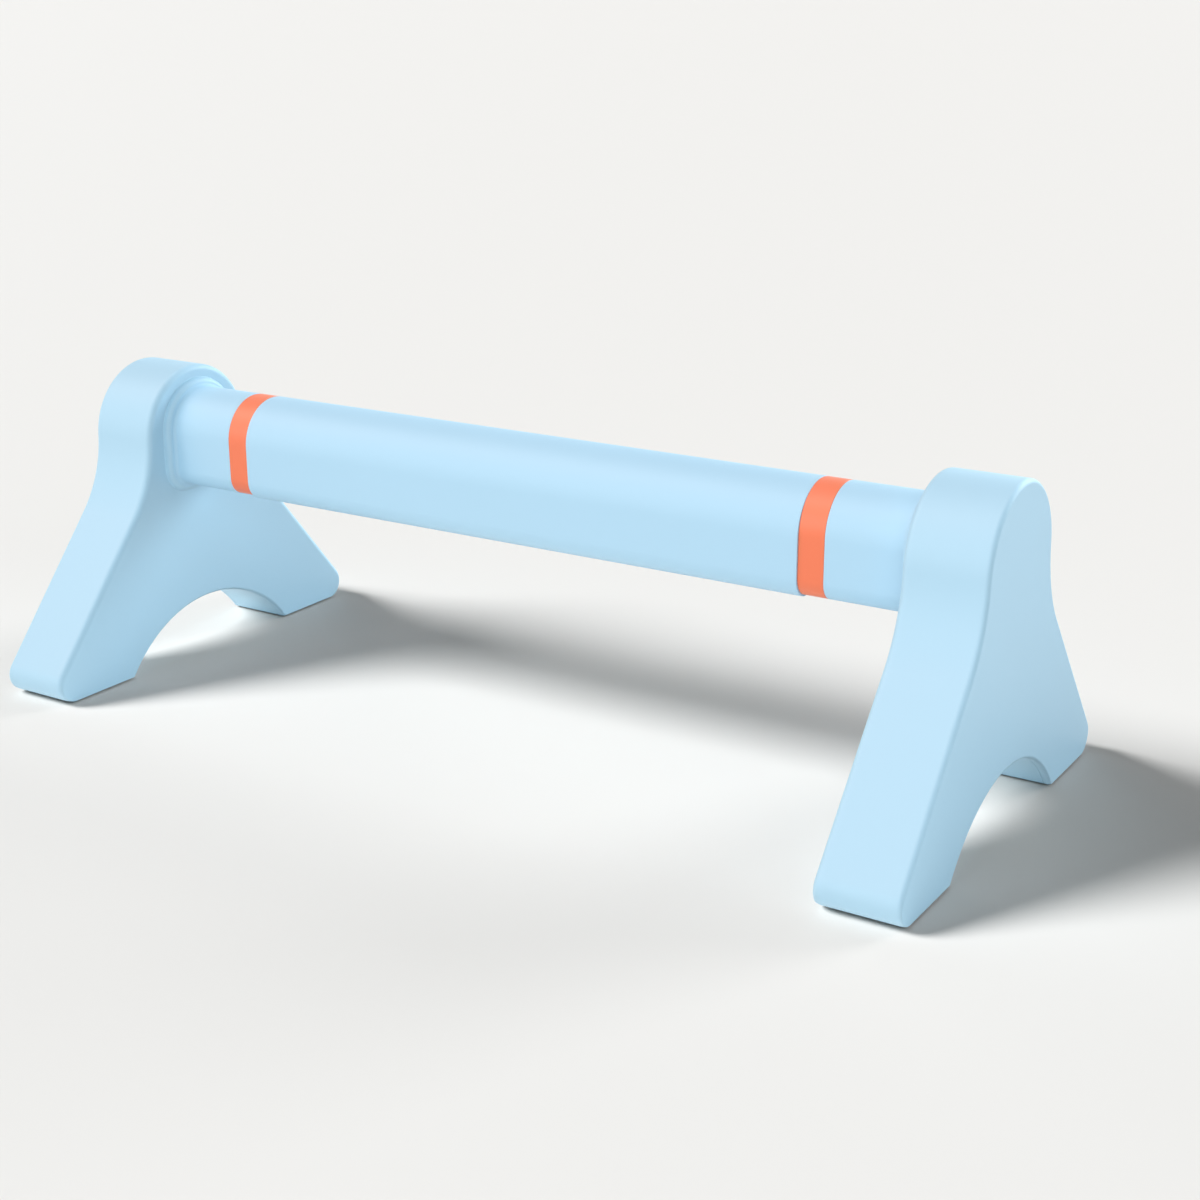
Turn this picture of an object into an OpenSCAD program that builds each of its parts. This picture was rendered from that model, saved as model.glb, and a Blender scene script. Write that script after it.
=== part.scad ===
// Parallette bar: two hollow moulded legs, a steel core tube and a D-shaped hand bar.
// Frame: X along the bar with the right leg at +X, Y from front to back, Z up.
// The origin is on the floor, under the middle of the bar.

/* [Leg outline] */
// Height of the leg's top above the floor
leg_h = 150; // [146:0.5:162]
// Thickness of a leg along the bar
leg_t = 36.5; // [34:0.5:42]
// Clear distance between the inner faces of the two legs
leg_gap = 400; // [320:2:480]
// Radius of the domed head
head_r = 34.8; // [33:0.2:38]
// Radius of the hollow flare between head and limb
flare_r = 60; // [45:1:75]
// Lean of each limb away from the vertical, in degrees
limb_lean = 40; // [38:0.5:42]
// Reach of the toe from the middle plane
toe_reach = 105.3; // [101:0.5:108]
// Radius of the toe's outer corner
toe_r = 8.8; // [7:0.2:10]
// Rounding of the long edges round the leg's inner face
rim_r = 3; // [1.5:0.25:4.5]
// Rounding of the long edges round the leg's outer face
outer_rim_r = 2.25; // [1:0.25:4.5]
// Half width of the arch at the foot's underside
arch_half_w = 56; // [50:0.5:60]
// Height of the arch's crown above the floor
arch_h = 29; // [25:0.5:32]
// Rounding of the arch's edges
arch_rim_r = 1.5; // [0.5:0.25:2.5]

/* [Leg moulding] */
// Wall of the leg shell
wall = 3; // [2.5:0.1:3.5]
// Thickness of the ribs inside the shell
rib_t = 2.4; // [1.6:0.1:3.2]
// Distance of the inner ribs from the middle plane
rib_inner_y = 31; // [29:0.5:34]
// Distance of the outer ribs from the middle plane
rib_outer_y = 50; // [48:0.5:54]
// Thickness of the wall that closes the hub at the leg's outer side
hub_end_wall = 4.5; // [3:0.25:6]
// Distance of the solid toe block's inner face from the middle plane
toe_block_y = 96; // [94:0.5:97]
// Height of the hollow beside the hub
pocket_top = 116; // [110:0.5:118]

/* [Collar and socket] */
// Width of the raised collar round the bar
collar_w = 4.2; // [3.6:0.1:5]
// Height of the collar over the leg's inner face
collar_h = 3.5; // [2:0.1:5]
// Rounding of the collar's outer edge
collar_r = 3; // [1:0.1:3.4]
// Depth of the socket below the leg's inner face
socket_depth = 8; // [6:0.25:10]
// Clearance round the sleeve in its socket
socket_fit = 0.15; // [0.1:0.05:0.3]

/* [Bar profile] */
// Width of the bar
bar_w = 41.4; // [40.5:0.1:43]
// Height of the bar's top above the floor
bar_top = 139.5; // [138.5:0.1:140]
// Height of the bar's underside above the floor
bar_bottom = 92.2; // [90:0.1:93]
// Radius of the bar's lower corners
bar_corner = 9; // [7:0.25:10]
// Step of the centre grip over the bar's sides
grip_side_step = 0.8; // [0.2:0.1:1.5]
// Step of the centre grip below the bar's underside
grip_low_step = 0.9; // [0.2:0.1:1.5]
// Length of the centre grip
grip_len = 297.6; // [220:0.2:300]
// Width of each accent ring
ring_w = 11.8; // [8:0.2:16]
// Length of the ring's hidden spigots
spigot_len = 5; // [3:0.25:7]
// Depth of the ring's spigots under the bar's skin
spigot_inset = 2.3; // [2.1:0.05:2.6]
// Clearance round and behind each spigot
spigot_fit = 0.15; // [0.1:0.05:0.3]

/* [Core tube and clamping] */
// Outer diameter of the steel core tube
tube_d = 32; // [31:0.1:32.4]
// Wall of the core tube
tube_wall = 2; // [1.5:0.1:2.5]
// Height of the tube's axis above the floor
tube_z = 116; // [115:0.1:117]
// Clearance between the tube and all bores round it, on the radius
tube_fit = 0.1; // [0.05:0.01:0.2]
// Gap between the tube's end and the end of its bore
tube_end_gap = 0.5; // [0.3:0.1:1.5]
// Length of the solid plug in each end of the tube
plug_len = 20; // [16:0.5:22]
// Clearance between plug and tube, on the radius
plug_fit = 0.05; // [0.02:0.01:0.1]
// Diameter of the clamp bolt
bolt_d = 8; // [6:0.5:8]
// Length of the clamp bolt under its head
bolt_len = 30; // [28:0.5:36]
// Clearance of the bolt in the holes it passes through, on the radius
bolt_fit = 0.25; // [0.2:0.05:0.5]
// Clearance of a screw or bolt in its thread, on the radius
thread_slack = 0.05; // [0.02:0.01:0.1]
// Diameter of the washer under the bolt's head
washer_d = 16; // [15:0.5:20]
// Thickness of the washer
washer_t = 1.6; // [1:0.1:2]

/* [Base cover and pads] */
// Thickness of the base cover
cover_t = 3; // [2.5:0.1:4]
// Gap round the base cover
cover_gap = 0.2; // [0.1:0.05:0.4]
// Height of the foot's rim above the floor
foot_z = 1; // [0.6:0.1:1.4]
// Thickness of the rubber foot pads
pad_t = 3; // [2:0.1:3.5]
// Gap round each pad in its recess
pad_gap = 0.3; // [0.1:0.05:0.5]
// Corner radius of the pads
pad_corner = 2.5; // [1:0.25:4]
// Diameter of the cover screws
screw_d = 4; // [3.5:0.1:4.5]
// Length of the cover screws
screw_len = 16; // [14:0.5:20]
// Diameter of the screws' countersunk heads
screw_head_d = 7.5; // [7:0.1:8]
// Distance of the inner screw from the middle plane
screw_inner_y = 68; // [66:0.5:70]
// Distance of the outer screw from the middle plane
screw_outer_y = 87; // [84:0.5:88]
// Diameter of the screw bosses
boss_d = 9; // [8:0.25:10]

/* [Hidden] */
$fn = 96;
reach = 400;
half_gap = leg_gap / 2;

// Centre of the toe's corner arc, and the limb's outer line
lean_n = [cos(limb_lean), sin(limb_lean)];
lean_t = [-sin(limb_lean), cos(limb_lean)];
toe_c = [toe_reach - toe_r, foot_z + toe_r];
limb_d = lean_n * toe_c + toe_r;
// Centre of the flare arc, which touches the head and the limb
head_z = leg_h - head_r;
flare_q = lean_n * (limb_d + flare_r) - [0, head_z];
flare_b = flare_q * lean_t;
flare_s = -flare_b - sqrt(pow(flare_b, 2) - flare_q * flare_q + pow(head_r + flare_r, 2));
flare_c = lean_n * (limb_d + flare_r) + flare_s * lean_t;
head_end = atan2(flare_c[1] - head_z, flare_c[0]);
// Circle of the arch, through the crown and both inner foot corners
arch_rise = arch_h - foot_z;
arch_r = (pow(arch_half_w, 2) + pow(arch_rise, 2)) / (2 * arch_rise);
arch_z = arch_h - arch_r;

// Steps of the rounded stretches
head_steps = 24;
flare_steps = 10;
flare_step = (limb_lean - head_end) / flare_steps;
toe_steps = 10;
rim_steps = 5;

// Places along the bar, measured from its middle
ring_in = grip_len / 2;
ring_out = ring_in + ring_w;
sleeve_end = half_gap + socket_depth;
bore_end = half_gap + leg_t - hub_end_wall;
tube_end = bore_end - tube_end_gap;
bore_r = tube_d / 2 + tube_fit;
bolt_x = (sleeve_end + tube_end) / 2;

// Room past the tip of a screw or bolt, and the boss's thickness over it
tip_room = 1;
boss_cap = 3;
// Heights in the hub
hub_low = bar_bottom - collar_w;
thread_top = hub_low - washer_t + bolt_len + tip_room;
// Heights in the foot
plate_z = pad_t;
plate_top = plate_z + cover_t;
head_h = (screw_head_d - screw_d) / 2;
boss_h = screw_len - cover_t + tip_room + boss_cap;
cover_x0 = wall + cover_gap;
cover_wid = leg_t - 2 * cover_x0;

// Head of the clamp bolt and its hexagon, by its thread
bolt_head_d = 1.625 * bolt_d;
hex_d = 0.866 * bolt_d;
// Room round a countersunk head, and the size of its cross slots
head_fit = 0.1;
slot_w = 1;

SHELL_BLUE = "lightskyblue";

// Helpers

function polar(r, a) = [r * cos(a), r * sin(a)];

// Shows its children at the right leg, or mirrored at the left one
module at_side(side) {
    if (side == "right") children();
    else mirror([1, 0, 0]) children();
}

// Stands a flat outline up at the right leg: its x runs along Y, its y up, its height along X
module stand_up(x = 0) {
    translate([x, 0, 0]) rotate([90, 0, 90]) children();
}

// Points of an arc round c, in n steps from a0 to a1, with its radius changing from r0 to r1
function arc_points(c, r0, r1, a0, a1, n) =
    [for (i = [0 : n]) c + polar(r0 + (r1 - r0) * i / n, a0 + (a1 - a0) * i / n)];

// Rear half of a leg's outline without its arch, drawn in by inset down to where the toe starts
function half_outline(inset) = concat(
    arc_points([0, head_z], head_r - inset, head_r - inset, 90, head_end, head_steps),
    arc_points(flare_c, flare_r + inset, flare_r + inset, head_end + 180 + flare_step, limb_lean + 180,
               flare_steps - 1),
    arc_points(toe_c, toe_r - inset, toe_r, limb_lean, -90, toe_steps));

// The whole outline, from the crown down the rear and back up the front
function outline(inset) = let (half = half_outline(inset))
    concat(half, [for (i = [len(half) - 1 : -1 : 1]) [-half[i][0], half[i][1]]]);

module leg_outline(inset = 0) {
    polygon(outline(inset));
}

// Outline of the bar: a half round top, straight sides and two lower corners
module d_profile(w, top, bottom, corner) {
    translate([0, top - w / 2]) circle(d = w);
    translate([-w / 2, bottom + corner]) square([w, top - w / 2 - bottom - corner]);
    translate([corner - w / 2, bottom]) square([w - 2 * corner, corner + 1]);
    for (side = [-1, 1]) translate([side * (w / 2 - corner), bottom + corner]) circle(r = corner);
}

// The bar's outline, grown by g all round
module bar_profile(g = 0) {
    d_profile(bar_w + 2 * g, bar_top + g, bar_bottom - g, bar_corner + g);
}

// Tube bore along X
module tube_bore(x0, x1, r = bore_r) {
    translate([x0, 0, tube_z]) rotate([0, 90, 0]) cylinder(r = r, h = x1 - x0);
}

// Leg shell

// Inset and height of each level of a rounded edge of radius r
function rim_levels(r) =
    [for (i = [0 : rim_steps]) let (a = 90 * i / rim_steps) r * [1 - sin(a), 1 - cos(a)]];
outer_levels = rim_levels(outer_rim_r);
// A spare level below the inner face, which a plane cuts off again, keeps that face in one piece
leg_levels = concat([[rim_r, -1]], rim_levels(rim_r),
                    [for (i = [rim_steps : -1 : 0]) [outer_levels[i][0], leg_t - outer_levels[i][1]]]);

// Outside of a leg lying flat, as outlines stacked up through its thickness
module leg_outside() {
    levels = len(leg_levels);
    n = len(outline(0));
    points = [for (level = leg_levels, p = outline(level[0])) [p[0], p[1], level[1]]];
    skin = [for (k = [0 : levels - 2], i = [0 : n - 1]) let (a = k * n + i, b = k * n + (i + 1) % n)
            each [[a, b, b + n], [a, b + n, a + n]]];
    ends = [[for (i = [n - 1 : -1 : 0]) i], [for (i = [0 : n - 1]) (levels - 1) * n + i]];
    difference() {
        polyhedron(points, concat(skin, ends));
        translate([-reach / 2, -1, -2]) cube([reach, reach, 2]);
    }
}

// What a rounding of radius r takes off a square corner at the origin
module corner_waste(r) {
    difference() {
        translate([-1, -1]) square(r + 1);
        translate([r, r]) circle(r = r);
    }
}

// Arch cutter lying flat, flared at both faces to round the arch's edges
module arch_cutter() {
    translate([0, arch_z, 0]) rotate_extrude() {
        translate([0, -1]) square([arch_r, leg_t + 2]);
        for (high = [0, 1])
            translate([arch_r, high * leg_t]) mirror([0, high]) corner_waste(arch_rim_r);
    }
}

// Hollow of a leg lying flat, open below, with the ribs left standing
module leg_hollow() {
    intersection() {
        difference() {
            leg_outline(wall);
            bar_profile(collar_w);
            translate([-reach / 2, pocket_top]) square([reach, reach]);
            difference() {
                for (y = [rib_inner_y, rib_outer_y, screw_inner_y, screw_outer_y], side = [-1, 1])
                    translate([side * y - rib_t / 2, 0]) square([rib_t, reach]);
                cover_space();
            }
        }
        translate([-toe_block_y, 0]) square([2 * toe_block_y, reach]);
    }
    translate([-toe_block_y, 0]) square([2 * toe_block_y, plate_top]);
}

// Room of the base cover, seen from the side
module cover_space() {
    translate([0, arch_z]) circle(r = arch_r + cover_t + cover_gap);
    translate([-toe_block_y, 0]) square([2 * toe_block_y, plate_top + cover_gap]);
}

// Raised collar lying flat on the leg's wall, with its outer edge rounded
module collar() {
    lift = wall + collar_h;
    hull() {
        linear_extrude(lift - collar_r) bar_profile(collar_w, $fn = 48);
        for (a = [15 : 15 : 90])
            linear_extrude(lift - collar_r * (1 - sin(a)))
                bar_profile(collar_w - collar_r * (1 - cos(a)), $fn = 48);
    }
}

module leg_shell(side) {
    color(SHELL_BLUE) at_side(side) difference() {
        union() {
            difference() {
                stand_up(half_gap) leg_outside();
                difference() {
                    stand_up(half_gap + wall) linear_extrude(leg_t - 2 * wall) leg_hollow();
                    screw_places(plate_top) cylinder(d = boss_d, h = boss_h);
                }
            }
            translate([half_gap + wall, 0, 0]) mirror([1, 0, 0]) stand_up() collar();
        }
        stand_up(half_gap) arch_cutter();
        stand_up(half_gap - collar_h - 1) linear_extrude(collar_h + socket_depth + 1)
            bar_profile(socket_fit);
        tube_bore(sleeve_end - 1, bore_end);
        translate([bolt_x, 0, hub_low - 1]) cylinder(r = bolt_d / 2 + bolt_fit, h = tube_z - hub_low);
        screw_places(plate_z) cylinder(r = screw_d / 2 + thread_slack, h = screw_len + tip_room);
    }
}

// The four cover screws of one leg, at height z
module screw_places(z) {
    for (y = [screw_inner_y, screw_outer_y], side = [-1, 1])
        translate([half_gap + leg_t / 2, side * y, z]) children();
}

// Base cover and pads

// The cover seen from the side: an arched strip and two foot plates
module cover_outline() {
    half_len = toe_block_y - cover_gap;
    difference() {
        intersection() {
            union() {
                translate([0, arch_z]) circle(r = arch_r + cover_t);
                translate([-half_len, plate_z]) square([2 * half_len, cover_t]);
            }
            translate([-half_len, foot_z]) square([2 * half_len, reach]);
        }
        translate([0, arch_z]) circle(r = arch_r);
    }
}

module base_cover(side) {
    color(SHELL_BLUE) at_side(side) difference() {
        stand_up(half_gap + cover_x0) linear_extrude(cover_wid) cover_outline();
        screw_places(plate_z) {
            translate([0, 0, -1]) cylinder(r = screw_d / 2 + bolt_fit, h = cover_t + 2);
            cylinder(r1 = screw_head_d / 2 + head_fit, r2 = screw_d / 2 + head_fit, h = head_h);
        }
    }
}

module foot_pad(side, front) {
    y0 = sqrt(pow(arch_r + cover_t, 2) - pow(foot_z - arch_z, 2)) + pad_gap;
    corner_x = [wall + pad_gap + pad_corner, leg_t - wall - pad_gap - pad_corner];
    corner_y = [y0 + pad_corner, toe_block_y - pad_gap - pad_corner];
    color("dimgray") at_side(side) mirror([0, front ? 1 : 0, 0])
        translate([half_gap, 0, 0]) linear_extrude(pad_t) {
            for (x = corner_x, y = corner_y) translate([x, y]) circle(r = pad_corner);
            translate([corner_x[0], corner_y[0] - pad_corner])
                square([corner_x[1] - corner_x[0], corner_y[1] - corner_y[0] + 2 * pad_corner]);
            translate([corner_x[0] - pad_corner, corner_y[0]])
                square([corner_x[1] - corner_x[0] + 2 * pad_corner, corner_y[1] - corner_y[0]]);
        }
}

// Countersunk screws that hold the cover, heads down
module cover_screws(side) {
    color("silver") at_side(side) screw_places(plate_z) difference() {
        union() {
            cylinder(d1 = screw_head_d, d2 = screw_d, h = head_h);
            cylinder(d = screw_d, h = screw_len);
        }
        for (turn = [0, 90])
            rotate(turn) translate([-screw_d / 2, -slot_w / 2, -1]) cube([screw_d, slot_w, 1 + head_h / 2]);
    }
}

// Tube and its clamping

module core_tube() {
    color("gainsboro") difference() {
        tube_bore(-tube_end, tube_end, tube_d / 2);
        tube_bore(-reach, reach, tube_d / 2 - tube_wall);
        for (x = [-bolt_x, bolt_x])
            translate([x, 0, hub_low]) cylinder(r = bolt_d / 2 + bolt_fit, h = tube_z - hub_low);
    }
}

module tube_plug(side) {
    color("silver") at_side(side) difference() {
        tube_bore(bolt_x - plug_len / 2, bolt_x + plug_len / 2, tube_d / 2 - tube_wall - plug_fit);
        translate([bolt_x, 0, hub_low]) cylinder(r = bolt_d / 2 + thread_slack, h = thread_top - hub_low);
    }
}

module bolt_washer(side) {
    color("silver") at_side(side) translate([bolt_x, 0, hub_low - washer_t]) difference() {
        cylinder(d = washer_d, h = washer_t);
        translate([0, 0, -1]) cylinder(r = bolt_d / 2 + bolt_fit, h = washer_t + 2);
    }
}

// Socket head bolt, head down
module clamp_bolt(side) {
    color("silver") at_side(side) translate([bolt_x, 0, hub_low - washer_t]) {
        cylinder(d = bolt_d, h = bolt_len);
        difference() {
            translate([0, 0, -bolt_d]) cylinder(d = bolt_head_d, h = bolt_d + 0.1);
            translate([0, 0, -bolt_d - 1]) cylinder(d = hex_d, h = 1 + bolt_d / 2, $fn = 6);
        }
    }
}

// Bar

// The section of the bar between x0 and x1, grown by g
module bar_piece(x0, x1, g = 0) {
    stand_up(x0) linear_extrude(x1 - x0) bar_profile(g);
}

// Room for one spigot of a ring, between x0 and x1
module spigot_room(x0, x1) {
    bar_piece(x0, x1, spigot_fit - spigot_inset);
}

module centre_grip() {
    color(SHELL_BLUE) difference() {
        stand_up(-ring_in) linear_extrude(grip_len)
            d_profile(bar_w + 2 * grip_side_step, bar_top, bar_bottom - grip_low_step,
                      bar_corner + grip_side_step);
        tube_bore(-reach, reach);
        for (side = ["left", "right"]) at_side(side)
            spigot_room(ring_in - spigot_len - spigot_fit, ring_in + 1);
    }
}

module end_sleeve(side) {
    color(SHELL_BLUE) at_side(side) difference() {
        bar_piece(ring_out, sleeve_end);
        tube_bore(0, reach);
        spigot_room(ring_out - 1, ring_out + spigot_len + spigot_fit);
    }
}

// Visible ring with a spigot on each side that keys the grip to the sleeve
module accent_ring(side) {
    color("coral") at_side(side) difference() {
        union() {
            bar_piece(ring_in, ring_out);
            bar_piece(ring_in - spigot_len, ring_out + spigot_len, -spigot_inset);
        }
        tube_bore(0, reach);
    }
}

leg_shell("left");  // left_leg_shell
leg_shell("right");  // right_leg_shell
base_cover("left");  // left_base_cover
base_cover("right");  // right_base_cover
foot_pad("left", true);  // left_front_foot_pad
foot_pad("left", false);  // left_rear_foot_pad
foot_pad("right", true);  // right_front_foot_pad
foot_pad("right", false);  // right_rear_foot_pad
cover_screws("left");  // left_cover_screws
cover_screws("right");  // right_cover_screws
clamp_bolt("left");  // left_clamp_bolt
clamp_bolt("right");  // right_clamp_bolt
bolt_washer("left");  // left_bolt_washer
bolt_washer("right");  // right_bolt_washer
tube_plug("left");  // left_tube_plug
tube_plug("right");  // right_tube_plug
core_tube();
centre_grip();
end_sleeve("left");  // left_end_sleeve
end_sleeve("right");  // right_end_sleeve
accent_ring("left");  // left_accent_ring
accent_ring("right");  // right_accent_ring
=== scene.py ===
"""Looks of a parallette bar: two moulded legs, a D-shaped hand bar with coral rings, and rubber pads."""

import math

import bmesh
import bpy
from mathutils import Matrix, Vector


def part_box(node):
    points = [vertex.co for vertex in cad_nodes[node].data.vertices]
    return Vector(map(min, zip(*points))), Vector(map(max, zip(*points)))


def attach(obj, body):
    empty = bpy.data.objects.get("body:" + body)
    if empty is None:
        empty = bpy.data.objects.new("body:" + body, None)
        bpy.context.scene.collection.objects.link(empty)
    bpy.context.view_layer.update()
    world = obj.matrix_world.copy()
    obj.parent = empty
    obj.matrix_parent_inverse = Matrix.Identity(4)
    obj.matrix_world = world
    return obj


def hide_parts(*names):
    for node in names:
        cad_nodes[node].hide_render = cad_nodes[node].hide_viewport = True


MM = 0.001
SIDES = ("left", "right")

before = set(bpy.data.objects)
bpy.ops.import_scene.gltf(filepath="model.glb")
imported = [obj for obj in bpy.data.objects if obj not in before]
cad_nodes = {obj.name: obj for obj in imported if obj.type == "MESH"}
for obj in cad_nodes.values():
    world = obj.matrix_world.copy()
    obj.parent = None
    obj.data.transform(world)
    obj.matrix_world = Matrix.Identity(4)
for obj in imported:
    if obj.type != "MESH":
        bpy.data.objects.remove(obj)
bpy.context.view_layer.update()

# Leg, in metres, its lean in degrees. X runs along the bar, Y from the middle plane, Z upwards
leg_low, leg_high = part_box("right_leg_shell")
COLLAR_H = 3.5 * MM
LEG_X = leg_low.x + COLLAR_H
LEG_T = leg_high.x - LEG_X
LEG_H = leg_high.z
HEAD_R = 34.8 * MM
FLARE_R = 60 * MM
LIMB_LEAN = 40
TOE_REACH = leg_high.y
TOE_R = 8.8 * MM
INNER_RIM_R = 3 * MM
OUTER_RIM_R = 2.25 * MM
FOOT_Z = 1 * MM
ARCH_HALF_W = 56 * MM
ARCH_H = 29 * MM
ARCH_RIM_R = 1.5 * MM
WALL = 3 * MM
TOE_BLOCK_Y = 96 * MM
RECESS_TOP = 6.2 * MM
RECESS_RISE = 3.2 * MM
COLLAR_W = 4.2 * MM
COLLAR_R = 3 * MM
SOCKET_DEPTH = 8 * MM
SOCKET_FIT = 0.15 * MM
HUB_END_WALL = 4.5 * MM

# Bar, in metres
BAR_W = 41.4 * MM
BAR_TOP = 139.5 * MM
BAR_BOTTOM = 92.2 * MM
BAR_CORNER = 9 * MM
GRIP_SIDE_STEP = 0.8 * MM
GRIP_LOW_STEP = 0.9 * MM
RING_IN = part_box("centre_grip")[1].x
SPIGOT_LEN = 5 * MM
RING_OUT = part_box("right_accent_ring")[1].x - SPIGOT_LEN
SPIGOT_INSET = 2.3 * MM
SPIGOT_FIT = 0.15 * MM
TUBE_Z = 116 * MM
BORE_R = 16.1 * MM
SEAM_R = 0.25 * MM
STEP_EDGE = 0.002 * MM
ROOT_R = 2 * MM
ROOT_SINK = 0.12 * MM

# Steps of the rounded stretches
HEAD_STEPS = 40
FLARE_STEPS = 16
TOE_STEPS = 14
ARCH_STEPS = 24
RIM_STEPS = 8
CROWN_STEPS = 24
CORNER_STEPS = 10
SEAM_STEPS = 3
BORE_STEPS = 64

# Distances within which verts are one, digits kept of a depth, and shading
MIRROR_MERGE = 1e-6
WELD = 1e-7
DEPTH_DIGITS = 7
SHARP_TURN = 40
FLAT_WEIGHT = 100

# Surfaces: noise per metre, its detail, and how much it changes gloss or shade
GRAIN_DETAIL = 2
SLOW_SCALE = 14
SLOW_DETAIL = 3
LINE_SCALE = 1500
LINE_DETAIL = 3
LINE_SHADE = 0.85
GLOSS_CHANGE = 0.08

# Floor, room and the colour of the floor's lamps
FLOOR_HALF = 60
FLOOR_COLOUR = (0.8, 0.7, 0.63)
FLOOR_ROUGHNESS = 0.9
FLOOR_SPECULAR = 0.1
FLOOR_LAMP = (0.802, 0.916, 1)
ROOM_COLOUR = (1, 0.995, 0.98)
ROOM_LIGHT = 0.05
ROOM_SEEN = 0.88

# Camera, its place and lens in millimetres
SENSOR_W = 36
LENS = 57.56
CAMERA_PLACE = (479.4, -697.9, 338.4)
CAMERA_RIGHT = (0.84686, 0.53181, -0.00208)
CAMERA_AHEAD = (-0.50576, 0.80417, -0.31228)

# Arcs of the leg's outline, each touching the next
HEAD_Z = LEG_H - HEAD_R
LEAN_OUT = Vector((math.cos(math.radians(LIMB_LEAN)), math.sin(math.radians(LIMB_LEAN))))
LEAN_UP = Vector((-LEAN_OUT.y, LEAN_OUT.x))
TOE_C = Vector((TOE_REACH - TOE_R, FOOT_Z + TOE_R))
LIMB_D = LEAN_OUT.dot(TOE_C) + TOE_R
flare_q = LEAN_OUT * (LIMB_D + FLARE_R) - Vector((0, HEAD_Z))
flare_b = flare_q.dot(LEAN_UP)
flare_s = -flare_b - math.sqrt(flare_b**2 - flare_q.length_squared + (HEAD_R + FLARE_R) ** 2)
FLARE_C = LEAN_OUT * (LIMB_D + FLARE_R) + LEAN_UP * flare_s
HEAD_END = math.degrees(math.atan2(FLARE_C.y - HEAD_Z, FLARE_C.x))
ARCH_R = (ARCH_HALF_W**2 + (ARCH_H - FOOT_Z) ** 2) / (2 * (ARCH_H - FOOT_Z))
ARCH_Z = ARCH_H - ARCH_R


# Drawing outlines in a plane across X


def arc(bm, start, centre, degrees, steps, grow=0):
    """Carries a line on from start round a centre, growing its radius, and returns the last vert."""
    before = set(bm.verts)
    bmesh.ops.spin(
        bm,
        geom=[start],
        cent=(start.co.x, centre[0], centre[1]),
        axis=(1, 0, 0),
        angle=math.radians(degrees),
        steps=steps,
        use_duplicate=False,
    )
    drawn = [v for v in bm.verts if v not in before]
    for i, v in enumerate(drawn, 1):
        out = v.co - Vector((start.co.x, centre[0], centre[1]))
        v.co += out.normalized() * grow * i / steps
    return drawn[-1]


def line(bm, start, y, z):
    """Carries a line straight on from start to a point, and returns its vert."""
    new = bmesh.ops.extrude_vert_indiv(bm, verts=[start])["verts"][0]
    new.co.y = y
    new.co.z = z
    return new


def whole_loop(bm, first):
    """Mirrors the half outline that starts at first, and returns the edges of the whole loop."""
    verts, edges = [first], []
    reached = first
    while True:
        onward = [e for e in reached.link_edges if e not in edges]
        if not onward:
            break
        edges.append(onward[0])
        reached = onward[0].other_vert(reached)
        verts.append(reached)
    bmesh.ops.mirror(
        bm, geom=verts + edges, matrix=Matrix.Identity(4), merge_dist=MIRROR_MERGE, axis="Y"
    )
    loop, edge, vert = [], first.link_edges[0], first
    while edge not in loop:
        loop.append(edge)
        vert = edge.other_vert(vert)
        edge = next(e for e in vert.link_edges if e is not edge)
    return loop


def bar_loop(bm, x, grow=0, fuller=0):
    """The D section of the bar at x, grown all round. fuller is 1 for the grip, which is thicker."""
    half = BAR_W / 2 + grow
    top = BAR_TOP + grow
    low = BAR_BOTTOM - grow - fuller * GRIP_LOW_STEP
    side = half + fuller * GRIP_SIDE_STEP
    corner = BAR_CORNER + grow + fuller * GRIP_SIDE_STEP
    first = bm.verts.new((x, 0, top))
    last = arc(bm, first, (0, top - side), -90, CROWN_STEPS)
    last = line(bm, last, side, low + corner)
    last = arc(bm, last, (side - corner, low + corner), -90, CORNER_STEPS)
    line(bm, last, 0, low)
    return whole_loop(bm, first)


def circle_loop(bm, x):
    """The tube's bore at x."""
    place = Matrix.Translation((x, 0, TUBE_Z)) @ Matrix.Rotation(math.pi / 2, 4, "Y")
    made = bmesh.ops.create_circle(bm, radius=BORE_R, segments=BORE_STEPS, matrix=place)
    return list({e for v in made["verts"] for e in v.link_edges})


def leg_loop(bm, x, rim, arch, recess):
    """The leg's outline at x, with its rounded edge drawn in by rim and its arch widened by arch."""
    first = bm.verts.new((x, 0, LEG_H - rim))
    last = arc(bm, first, (0, HEAD_Z), HEAD_END - 90, HEAD_STEPS)
    last = arc(bm, last, FLARE_C, LIMB_LEAN - HEAD_END, FLARE_STEPS)
    last = line(bm, last, *(TOE_C + LEAN_OUT * (TOE_R - rim)))
    last = arc(bm, last, TOE_C, -90 - LIMB_LEAN, TOE_STEPS, grow=rim)
    last = line(bm, last, TOE_BLOCK_Y, FOOT_Z)
    if recess:
        radius, foot = ARCH_R + RECESS_RISE, RECESS_TOP
        last = line(bm, last, TOE_BLOCK_Y, foot)
    else:
        radius, foot = ARCH_R + arch, FOOT_Z
        last = line(bm, last, (TOE_BLOCK_Y + ARCH_HALF_W) / 2, foot)
    start_y = math.sqrt(radius**2 - (foot - ARCH_Z) ** 2)
    last = line(bm, last, start_y, foot)
    rise = 90 - math.degrees(math.atan2(foot - ARCH_Z, start_y))
    arc(bm, last, (0, ARCH_Z), rise, ARCH_STEPS)
    return whole_loop(bm, first)


# Skins between outlines


def bridge(bm, *loops):
    """Closes the skin between each loop and the next."""
    for one, other in zip(loops, loops[1:]):
        bmesh.ops.bridge_loops(bm, edges=one + other)


def plate(bm, outer, inner):
    """Fills the flat between two loops, one inside the other."""
    bmesh.ops.triangle_fill(bm, use_beauty=True, edges=outer + inner)


def lid(bm, loop):
    """Closes a loop with a flat face."""
    bmesh.ops.contextual_create(bm, geom=loop)


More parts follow.
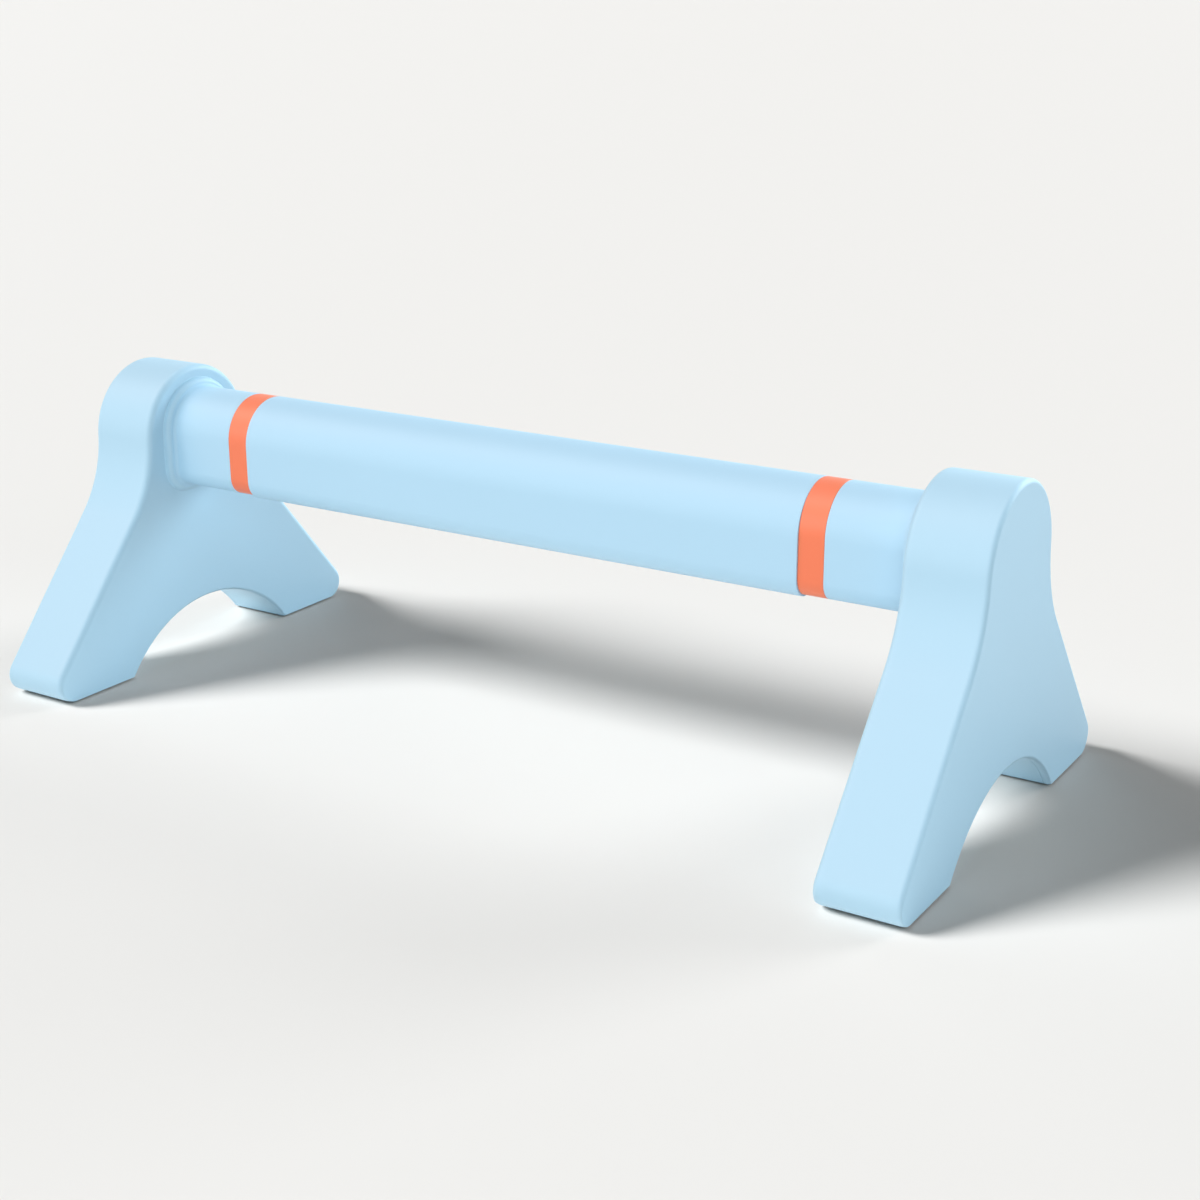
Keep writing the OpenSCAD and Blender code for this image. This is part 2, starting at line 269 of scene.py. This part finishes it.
def quarter(radius, steps):
    """How far in and how far up each step of a rounded edge lies, from its foot to its top."""
    turns = [math.pi / 2 * i / steps for i in range(steps + 1)]
    return [(radius * (1 - math.cos(a)), radius * (1 - math.sin(a))) for a in turns]


def fillet(radius, steps):
    """Height over the face and way in from the skirt, for each step of a hollow root."""
    turns = [math.pi / 2 * i / steps for i in range(steps + 1)]
    return [(radius * (1 - math.sin(a)), radius * math.cos(a)) for a in turns]


def inset_at(depth, radius):
    """How far a rounded edge of this radius is drawn in at a depth below the face."""
    short = max(radius - depth, 0)
    return radius - math.sqrt(radius**2 - short**2)


def wall_depths(radius):
    """Depths below a leg's face at which its skin turns, with both sides of the cover recess's step."""
    turns = {round(depth, DEPTH_DIGITS) for depth, _ in quarter(radius, RIM_STEPS)}
    return sorted(turns | {ARCH_RIM_R, WALL, WALL + STEP_EDGE})


def finish_mesh(bm, name, side):
    """Makes the drawn skin a mesh of the right or left piece, sharp where it turns sharply."""
    bmesh.ops.remove_doubles(bm, verts=bm.verts, dist=WELD)
    if side == "left":
        bmesh.ops.scale(bm, vec=(-1, 1, 1), verts=bm.verts)
    bmesh.ops.recalc_face_normals(bm, faces=bm.faces)
    for face in bm.faces:
        face.smooth = True
    mesh = bpy.data.meshes.new(name)
    bm.to_mesh(mesh)
    bm.free()
    mesh.set_sharp_from_angle(angle=math.radians(SHARP_TURN))
    return mesh


def new_piece(name, bm, side, material, slot, *nodes):
    """A finished piece that stands for CAD nodes and keeps its flat faces flat in the shading."""
    piece = bpy.data.objects.new(name, finish_mesh(bm, name, side))
    bpy.context.scene.collection.objects.link(piece)
    piece.data.materials.append(material)
    shading = piece.modifiers.new("Flat faces stay flat", "WEIGHTED_NORMAL")
    shading.keep_sharp = True
    shading.weight = FLAT_WEIGHT
    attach(piece, "root")
    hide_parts(*nodes)
    return piece


# Materials


def set_input(node, name, value):
    """Sets an unlinked input of a node, found by its name or number."""
    node.inputs[name].default_value = value


def grain_group():
    """Fine eroded mould grain with slow changes of shade and gloss, for every moulded piece."""
    group = bpy.data.node_groups.new("Mould grain", "ShaderNodeTree")
    face = group.interface
    for name, kind in (("Vector", "Vector"), ("Grain size", "Float"), ("Grain depth", "Float"),
                       ("Colour", "Color"), ("Shade change", "Float"), ("Roughness", "Float")):
        face.new_socket(name, in_out="INPUT", socket_type=f"NodeSocket{kind}")
    for name, kind in (("Colour", "Color"), ("Roughness", "Float"), ("Normal", "Vector")):
        face.new_socket(name, in_out="OUTPUT", socket_type=f"NodeSocket{kind}")
    nodes, links = group.nodes, group.links
    given = nodes.new("NodeGroupInput")
    made = nodes.new("NodeGroupOutput")

    scale = nodes.new("ShaderNodeMath")
    scale.operation = "DIVIDE"
    set_input(scale, 0, 1)
    links.new(given.outputs["Grain size"], scale.inputs[1])
    grain = nodes.new("ShaderNodeTexNoise")
    set_input(grain, "Detail", GRAIN_DETAIL)
    links.new(given.outputs["Vector"], grain.inputs["Vector"])
    links.new(scale.outputs[0], grain.inputs["Scale"])
    bump = nodes.new("ShaderNodeBump")
    links.new(grain.outputs["Fac"], bump.inputs["Height"])
    links.new(given.outputs["Grain depth"], bump.inputs["Distance"])
    links.new(bump.outputs["Normal"], made.inputs["Normal"])

    slow = nodes.new("ShaderNodeTexNoise")
    set_input(slow, "Scale", SLOW_SCALE)
    set_input(slow, "Detail", SLOW_DETAIL)
    links.new(given.outputs["Vector"], slow.inputs["Vector"])
    centred = nodes.new("ShaderNodeMath")
    centred.operation = "SUBTRACT"
    set_input(centred, 1, 0.5)
    links.new(slow.outputs["Fac"], centred.inputs[0])
    shade = nodes.new("ShaderNodeMath")
    shade.operation = "MULTIPLY_ADD"
    set_input(shade, 2, 1)
    links.new(centred.outputs[0], shade.inputs[0])
    links.new(given.outputs["Shade change"], shade.inputs[1])
    tint = nodes.new("ShaderNodeVectorMath")
    tint.operation = "SCALE"
    links.new(given.outputs["Colour"], tint.inputs[0])
    links.new(shade.outputs[0], tint.inputs["Scale"])
    links.new(tint.outputs[0], made.inputs["Colour"])

    gloss = nodes.new("ShaderNodeMath")
    gloss.operation = "MULTIPLY_ADD"
    set_input(gloss, 1, GLOSS_CHANGE)
    links.new(centred.outputs[0], gloss.inputs[0])
    links.new(given.outputs["Roughness"], gloss.inputs[2])
    links.new(gloss.outputs[0], made.inputs["Roughness"])
    return group


def moulded(name, colour, roughness, grain_size, grain_depth, shade_change, specular=0.5):
    """A moulded plastic or rubber that takes its surface from the grain group."""
    material = bpy.data.materials.new(name)
    material.use_nodes = True
    nodes, links = material.node_tree.nodes, material.node_tree.links
    shader = nodes["Principled BSDF"]
    set_input(shader, "Specular IOR Level", specular)
    place = nodes.new("ShaderNodeTexCoord")
    grain = nodes.new("ShaderNodeGroup")
    grain.node_tree = GRAIN
    set_input(grain, "Grain size", grain_size)
    set_input(grain, "Grain depth", grain_depth)
    set_input(grain, "Colour", (*colour, 1))
    set_input(grain, "Shade change", shade_change)
    set_input(grain, "Roughness", roughness)
    links.new(place.outputs["Object"], grain.inputs["Vector"])
    links.new(grain.outputs["Colour"], shader.inputs["Base Color"])
    links.new(grain.outputs["Roughness"], shader.inputs["Roughness"])
    links.new(grain.outputs["Normal"], shader.inputs["Normal"])
    return material


def metal(name, colour, roughness, stretch, line_depth):
    """A drawn or plated metal with fine lines, stretched along X for a drawn tube."""
    material = bpy.data.materials.new(name)
    material.use_nodes = True
    nodes, links = material.node_tree.nodes, material.node_tree.links
    shader = nodes["Principled BSDF"]
    set_input(shader, "Metallic", 1)
    place = nodes.new("ShaderNodeTexCoord")
    mapping = nodes.new("ShaderNodeMapping")
    set_input(mapping, "Scale", stretch)
    lines = nodes.new("ShaderNodeTexNoise")
    set_input(lines, "Scale", LINE_SCALE)
    set_input(lines, "Detail", LINE_DETAIL)
    ramp = nodes.new("ShaderNodeMix")
    ramp.data_type = "RGBA"
    set_input(ramp, "A", (*[c * LINE_SHADE for c in colour], 1))
    set_input(ramp, "B", (*colour, 1))
    rough = nodes.new("ShaderNodeMapRange")
    set_input(rough, "To Min", roughness - GLOSS_CHANGE)
    set_input(rough, "To Max", roughness + GLOSS_CHANGE)
    bump = nodes.new("ShaderNodeBump")
    set_input(bump, "Distance", line_depth)
    links.new(place.outputs["Object"], mapping.inputs["Vector"])
    links.new(mapping.outputs["Vector"], lines.inputs["Vector"])
    links.new(lines.outputs["Fac"], ramp.inputs["Factor"])
    links.new(lines.outputs["Fac"], rough.inputs["Value"])
    links.new(lines.outputs["Fac"], bump.inputs["Height"])
    links.new(ramp.outputs["Result"], shader.inputs["Base Color"])
    links.new(rough.outputs["Result"], shader.inputs["Roughness"])
    links.new(bump.outputs["Normal"], shader.inputs["Normal"])
    return material


GRAIN = grain_group()
LEG_PLASTIC = moulded("Leg plastic", (0.482, 0.713, 0.86), 0.48, 0.5 * MM, 0.012 * MM, 0.03)
BAR_PLASTIC = moulded("Bar plastic", (0.48, 0.72, 0.885), 0.5, 0.4 * MM, 0.008 * MM, 0.02)
RING_PLASTIC = moulded("Ring plastic", (0.985, 0.216, 0.095), 0.39, 0.4 * MM, 0.008 * MM, 0.03)
PAD_RUBBER = moulded("Pad rubber", (0.025, 0.026, 0.028), 0.8, 0.6 * MM, 0.06 * MM, 0.2, 0.3)
TUBE_STEEL = metal("Drawn steel", (0.55, 0.55, 0.56), 0.35, (0.02, 1, 1), 0.01 * MM)
PLUG_ALUMINIUM = metal("Turned aluminium", (0.85, 0.86, 0.87), 0.3, (1, 1, 1), 0.005 * MM)
ZINC_STEEL = metal("Zinc plated steel", (0.7, 0.72, 0.75), 0.3, (1, 1, 1), 0.005 * MM)


# Pieces


def leg(side):
    """A leg with rounded edges, the recess of its base cover, and the collar and socket of the bar."""
    bm = bmesh.new()
    inner = [(d, d, INNER_RIM_R, d > WALL) for d in wall_depths(INNER_RIM_R)]
    outer = [(LEG_T - d, d, OUTER_RIM_R, d > WALL) for d in wall_depths(OUTER_RIM_R)]
    loops = [
        leg_loop(bm, LEG_X + t, inset_at(d, rim_r), inset_at(d, ARCH_RIM_R), recess)
        for t, d, rim_r, recess in inner + outer[::-1]
    ]
    bridge(bm, *loops)
    lid(bm, loops[-1])
    collar = [
        bar_loop(bm, LEG_X - inward, COLLAR_W + top)
        for inward, top in quarter(COLLAR_H - COLLAR_R, SEAM_STEPS)
    ]
    collar += [
        bar_loop(bm, LEG_X - COLLAR_H + top, COLLAR_W - inward)
        for inward, top in quarter(COLLAR_R, RIM_STEPS)[1:]
    ]
    collar += [
        bar_loop(bm, LEG_X - COLLAR_H + inward, SOCKET_FIT + top)
        for inward, top in quarter(SEAM_R, SEAM_STEPS)
    ]
    collar.append(bar_loop(bm, LEG_X + SOCKET_DEPTH, SOCKET_FIT))
    plate(bm, loops[0], collar[0])
    bridge(bm, *collar)
    bore = [circle_loop(bm, LEG_X + SOCKET_DEPTH), circle_loop(bm, LEG_X + LEG_T - HUB_END_WALL)]
    plate(bm, collar[-1], bore[0])
    bridge(bm, *bore)
    lid(bm, bore[1])
    return new_piece(f"{side}_leg", bm, side, LEG_PLASTIC, "leg_plastic", f"{side}_leg_shell")


def rounded_end(x, way, fuller):
    """Stations of a rounded end at x, from its face outwards. way is 1 where the piece lies at +X."""
    return [(x + way * inward, -top, fuller) for inward, top in quarter(SEAM_R, SEAM_STEPS)]


def spigot_room(x, way):
    """Stations of the room for a ring's spigot in the end at x, from its floor outwards."""
    grow = SPIGOT_FIT - SPIGOT_INSET
    return [(x + way * (SPIGOT_LEN + SPIGOT_FIT), grow, 0), (x, grow, 0)]


def spigot(x, way):
    """Stations of a ring's spigot, from its tip to its root at x."""
    return [(x - way * SPIGOT_LEN, -SPIGOT_INSET, 0), (x, -SPIGOT_INSET, 0)]


def bar_piece(name, side, material, slot, node, stations):
    """A piece of the bar, skinned over its stations, with the tube's bore through it."""
    bm = bmesh.new()
    loops = [bar_loop(bm, *station) for station in stations]
    bridge(bm, *loops)
    bore = [circle_loop(bm, stations[0][0]), circle_loop(bm, stations[-1][0])]
    plate(bm, loops[0], bore[0])
    plate(bm, loops[-1], bore[1])
    bridge(bm, *bore)
    return new_piece(name, bm, side, material, slot, node)


def grip():
    """The centre grip, fuller than the rings at its sides and underside."""
    low = spigot_room(-RING_IN, 1) + rounded_end(-RING_IN, 1, 1)
    high = spigot_room(RING_IN, -1) + rounded_end(RING_IN, -1, 1)
    return bar_piece("grip", "right", BAR_PLASTIC, "bar_plastic", "centre_grip", low + high[::-1])


def ring(side):
    """A coral ring with its hidden spigots."""
    low = spigot(RING_IN, 1) + rounded_end(RING_IN, 1, 0)
    high = spigot(RING_OUT, -1) + rounded_end(RING_OUT, -1, 0)
    return bar_piece(
        f"{side}_ring", side, RING_PLASTIC, "ring_plastic", f"{side}_accent_ring", low + high[::-1]
    )


def sleeve(side):
    """The short stretch of bar between a ring and its leg."""
    low = spigot_room(RING_OUT, 1) + rounded_end(RING_OUT, 1, 0)
    face = LEG_X - COLLAR_H
    root = [(face - up, ROOT_R - out, 0) for up, out in fillet(ROOT_R, RIM_STEPS)]
    sunk = [(face + ROOT_SINK, ROOT_R, 0), (face + ROOT_SINK, 0, 0)]
    high = sunk + rounded_end(LEG_X + SOCKET_DEPTH, -1, 0)[::-1]
    return bar_piece(
        f"{side}_sleeve", side, BAR_PLASTIC, "bar_plastic", f"{side}_end_sleeve", low + root + high
    )


def dress(node, material):
    """Gives a carried-over CAD node its material."""
    for place in cad_nodes[node].material_slots:
        place.material = material


grip()
for side in SIDES:
    leg(side)
    ring(side)
    sleeve(side)
    dress(f"{side}_base_cover", LEG_PLASTIC)
    dress(f"{side}_front_foot_pad", PAD_RUBBER)
    dress(f"{side}_rear_foot_pad", PAD_RUBBER)
    dress(f"{side}_cover_screws", ZINC_STEEL)
    dress(f"{side}_clamp_bolt", ZINC_STEEL)
    dress(f"{side}_bolt_washer", ZINC_STEEL)
    dress(f"{side}_tube_plug", PLUG_ALUMINIUM)
dress("core_tube", TUBE_STEEL)


# Floor, light and camera


def floor():
    """A pale floor that runs out to the horizon."""
    bm = bmesh.new()
    bmesh.ops.create_grid(bm, x_segments=1, y_segments=1, size=FLOOR_HALF)
    mesh = bpy.data.meshes.new("floor")
    bm.to_mesh(mesh)
    bm.free()
    plane = bpy.data.objects.new("floor", mesh)
    bpy.context.scene.collection.objects.link(plane)
    material = bpy.data.materials.new("Pale floor")
    material.use_nodes = True
    shader = material.node_tree.nodes["Principled BSDF"]
    set_input(shader, "Base Color", (*FLOOR_COLOUR, 1))
    set_input(shader, "Roughness", FLOOR_ROUGHNESS)
    set_input(shader, "Specular IOR Level", FLOOR_SPECULAR)
    mesh.materials.append(material)
    return plane


def receivers(name, plane, state):
    """The things that a lamp shines on: the floor alone, or all but the floor."""
    group = bpy.data.collections.new(name)
    group.objects.link(plane)
    group.collection_objects[0].light_linking.link_state = state
    return group


def sun(name, group, azimuth, elevation, strength, spread, colour):
    """A soft lamp far away, at this azimuth, counted from -Y towards +X, that shines on a group."""
    lamp = bpy.data.lights.new(name, "SUN")
    lamp.energy = strength
    lamp.color = colour
    lamp.angle = math.radians(spread)
    thing = bpy.data.objects.new(name, lamp)
    turn, rise = math.radians(azimuth), math.radians(elevation)
    back = Vector((math.sin(turn) * math.cos(rise), -math.cos(turn) * math.cos(rise), math.sin(rise)))
    thing.rotation_mode = "QUATERNION"
    thing.rotation_quaternion = (-back).to_track_quat("-Z", "Y")
    thing.light_linking.receiver_collection = group
    bpy.context.scene.collection.objects.link(thing)


def studio():
    """A dim even room that looks white where it is seen or mirrored."""
    world = bpy.data.worlds.new("Studio")
    bpy.context.scene.world = world
    world.use_nodes = True
    nodes, links = world.node_tree.nodes, world.node_tree.links
    rays = nodes.new("ShaderNodeLightPath")
    seen = rays.outputs["Is Camera Ray"]
    for kind in ("Is Glossy Ray", "Is Transmission Ray"):
        either = nodes.new("ShaderNodeMath")
        either.operation = "MAXIMUM"
        links.new(seen, either.inputs[0])
        links.new(rays.outputs[kind], either.inputs[1])
        seen = either.outputs[0]
    strength = nodes.new("ShaderNodeMapRange")
    set_input(strength, "To Min", ROOM_LIGHT)
    set_input(strength, "To Max", ROOM_SEEN)
    links.new(seen, strength.inputs["Value"])
    back = nodes["Background"]
    set_input(back, "Color", (*ROOM_COLOUR, 1))
    links.new(strength.outputs["Result"], back.inputs["Strength"])


def camera():
    """The camera of the photograph, with its place and axes solved from outlines in it."""
    data = bpy.data.cameras.new("camera")
    data.sensor_width = SENSOR_W
    data.lens = LENS
    thing = bpy.data.objects.new("camera", data)
    right = Vector(CAMERA_RIGHT)
    back = -Vector(CAMERA_AHEAD)
    up = back.cross(right)
    axes = Matrix((right, up, back)).transposed().to_4x4()
    thing.matrix_world = Matrix.Translation(Vector(CAMERA_PLACE) * MM) @ axes
    bpy.context.scene.collection.objects.link(thing)
    bpy.context.scene.camera = thing


ground = floor()
part = receivers("Part", ground, "EXCLUDE")
sun("key", part, -60, 50, 1.16, 35, (1, 0.78, 0.71))
sun("front left", part, -30, 20, 0.82, 35, (0.9, 0.955, 0.98))
sun("front right", part, 30, 20, 0.93, 35, (0.74, 0.91, 1))
sun("overhead", part, 0, 89, 1, 60, (0.8, 0.93, 1))
sun("rear right", part, 150, 20, 2.14, 35, (0.835, 0.93, 1))
sun("rear", part, 180, 20, 0.75, 35, (0.6, 0.9, 1))
under = receivers("Floor", ground, "INCLUDE")
sun("floor key", under, -57, 38, 5.42, 24, FLOOR_LAMP)
sun("floor left", under, -120, 12, 0.4, 20, FLOOR_LAMP)
sun("floor rear", under, 150, 22, 1.4, 25, FLOOR_LAMP)
sun("floor right", under, 60, 20, 0.42, 35, FLOOR_LAMP)
studio()
camera()

bpy.context.scene.view_settings.view_transform = "Standard"
